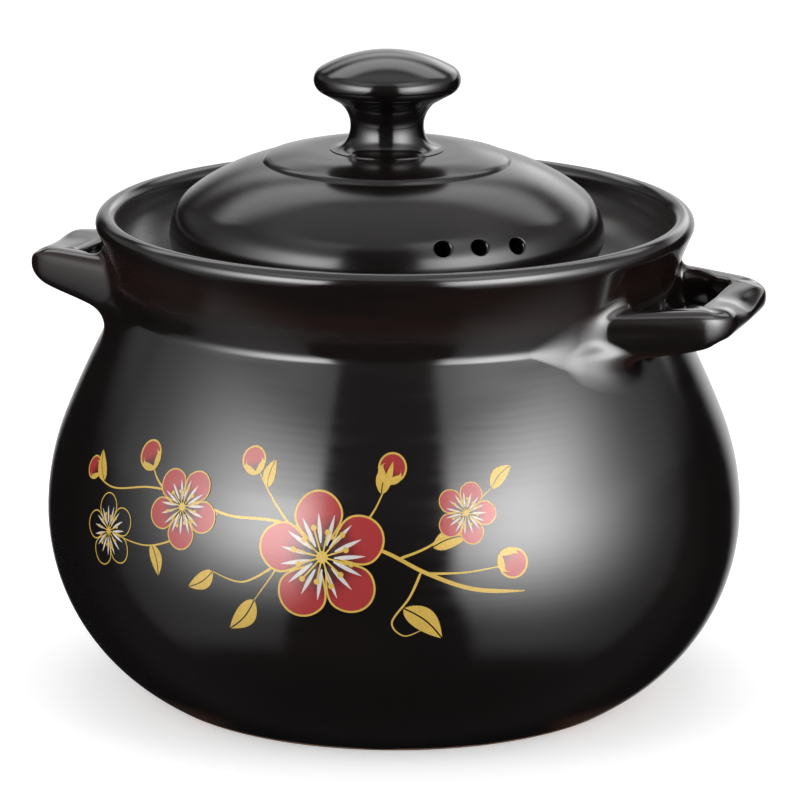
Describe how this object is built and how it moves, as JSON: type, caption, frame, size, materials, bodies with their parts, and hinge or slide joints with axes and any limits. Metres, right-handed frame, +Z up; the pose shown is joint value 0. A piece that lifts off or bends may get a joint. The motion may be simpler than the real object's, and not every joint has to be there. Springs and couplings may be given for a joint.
{
  "type": "sand pot",
  "caption": "Round-bellied glazed clay soup pot with a flared neck, strap ear handles and a domed lid with a mushroom knob and steam holes.",
  "frame": {"origin": "centre of the flat foot, on the surface that the pot stands on", "axes": "+Z up along the pot's axis, X through the ear handles with handle_right on +X, and -Y towards the side that the steam holes face"},
  "size_m": [0.2636, 0.25, 0.2312],
  "materials": {
    "glaze": "warm black satin glaze",
    "bare_clay": "unglazed fired clay",
    "decal_red": "fired-on ornament, red",
    "decal_gold": "fired-on ornament, gold",
    "decal_white": "fired-on ornament, white"
  },
  "bodies": {
    "pot": {"pot_body": "glaze", "handle_right": "glaze", "handle_left": "glaze"},
    "lid": {"lid": "glaze", "lid_knob": "glaze"}
  },
  "joints": [
    {"name": "lid_lift", "type": "slide", "parent": "pot", "child": "lid", "axis": [0, 0, 1], "range_m": [0, 0.12]}
  ]
}
